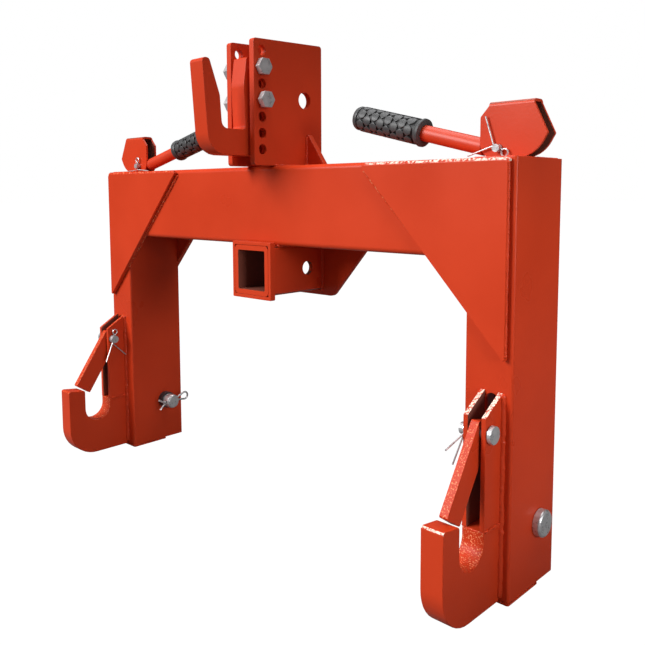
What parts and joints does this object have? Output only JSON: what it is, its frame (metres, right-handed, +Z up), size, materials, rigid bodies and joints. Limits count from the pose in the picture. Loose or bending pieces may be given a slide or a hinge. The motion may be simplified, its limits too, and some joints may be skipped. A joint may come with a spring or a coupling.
{
  "type": "three point quick hitch",
  "caption": "Tractor quick hitch frame with two spring-latched lower hooks opened by cam levers, an adjustable top hook between mast plates and a square receiver.",
  "frame": {"origin": "middle of the bottom of the whole object's box: on the centre plane, under the foot plates", "axes": "+X along the cross tube to the right as seen from the implement, -Y towards the implement (the hooks), +Y towards the tractor, +Z up"},
  "size_m": [0.7546, 0.1984, 0.6021],
  "materials": {
    "paint": "semi-gloss",
    "zinc": "satin",
    "rubber": "matte",
    "spring_steel": "satin"
  },
  "bodies": {
    "frame": {"cross_tube": "paint", "leg_left": "paint", "leg_right": "paint", "leg_cap_left": "paint", "leg_cap_right": "paint", "foot_plate_left": "paint", "foot_plate_right": "paint", "front_gusset_left": "paint", "front_gusset_right": "paint", "rear_gusset_left": "paint", "rear_gusset_right": "paint", "lower_hook_left": "paint", "lower_hook_right": "paint", "latch_cover_inner_left": "paint", "latch_cover_outer_left": "paint", "latch_cover_inner_right": "paint", "latch_cover_outer_right": "paint", "latch_pin_left": "zinc", "latch_pin_right": "zinc", "latch_pin_clip_left": "zinc", "latch_pin_clip_right": "zinc", "return_spring_left": "spring_steel", "return_spring_right": "spring_steel", "link_pin_boss_left": "spring_steel", "link_pin_boss_right": "spring_steel", "mast_plate_left": "paint", "mast_plate_right": "paint", "mast_gusset_left": "paint", "mast_gusset_right": "paint", "top_hook": "paint", "hook_bolt_upper": "zinc", "hook_bolt_lower": "zinc", "hook_nut_upper": "zinc", "hook_nut_lower": "zinc", "receiver_tube": "paint", "receiver_collar": "paint", "receiver_back_plate": "paint"},
    "pull_rod_body_left": {"pull_rod_left": "paint", "spring_stop_left": "zinc", "lever_pin_left": "zinc", "lever_pin_clip_left": "zinc"},
    "pull_rod_body_right": {"pull_rod_right": "paint", "spring_stop_right": "zinc", "lever_pin_right": "zinc", "lever_pin_clip_right": "zinc"},
    "lever_left": {"cam_bracket_left": "paint", "handle_rod_left": "paint", "grip_left": "rubber"},
    "lever_right": {"cam_bracket_right": "paint", "handle_rod_right": "paint", "grip_right": "rubber"},
    "latch_body_left": {"latch_left": "paint"},
    "latch_body_right": {"latch_right": "paint"},
    "link_pin_body_left": {"link_pin_left": "zinc", "link_pin_clip_left": "zinc"},
    "link_pin_body_right": {"link_pin_right": "zinc", "link_pin_clip_right": "zinc"}
  },
  "joints": [
    {"name": "rod_slide_left", "type": "slide", "parent": "frame", "child": "pull_rod_body_left", "axis": [0, 0, 1], "range_m": [0, 0.045], "deforming": ["return_spring_left"]},
    {"name": "lever_hinge_left", "type": "hinge", "parent": "pull_rod_body_left", "child": "lever_left", "pos_m": [-0.3256, 0.04185, 0.454], "axis": [0, -1, 0], "range_deg": [0, 90]},
    {"name": "latch_hinge_left", "type": "hinge", "parent": "frame", "child": "latch_body_left", "pos_m": [-0.3415, -0.02215, 0.1795], "axis": [1, 0, 0], "range_deg": [0, 39]},
    {"name": "link_pin_turn_left", "type": "hinge", "parent": "frame", "child": "link_pin_body_left", "pos_m": [-0.337, 0.06015, 0.0685], "axis": [1, 0, 0], "continuous": true},
    {"name": "rod_slide_right", "type": "slide", "parent": "frame", "child": "pull_rod_body_right", "axis": [0, 0, 1], "range_m": [0, 0.045], "deforming": ["return_spring_right"]},
    {"name": "lever_hinge_right", "type": "hinge", "parent": "pull_rod_body_right", "child": "lever_right", "pos_m": [0.3256, 0.04185, 0.454], "axis": [0, 1, 0], "range_deg": [0, 90]},
    {"name": "latch_hinge_right", "type": "hinge", "parent": "frame", "child": "latch_body_right", "pos_m": [0.3415, -0.02215, 0.1795], "axis": [1, 0, 0], "range_deg": [0, 39]},
    {"name": "link_pin_turn_right", "type": "hinge", "parent": "frame", "child": "link_pin_body_right", "pos_m": [0.337, 0.06015, 0.0685], "axis": [1, 0, 0], "continuous": true}
  ],
  "couplings": [
    {"joint": "rod_slide_left", "follows": "lever_hinge_left", "m_per_rad": 0.028648},
    {"joint": "latch_hinge_left", "follows": "lever_hinge_left", "ratio": 0.43333},
    {"joint": "rod_slide_right", "follows": "lever_hinge_right", "m_per_rad": 0.028648},
    {"joint": "latch_hinge_right", "follows": "lever_hinge_right", "ratio": 0.43333}
  ]
}
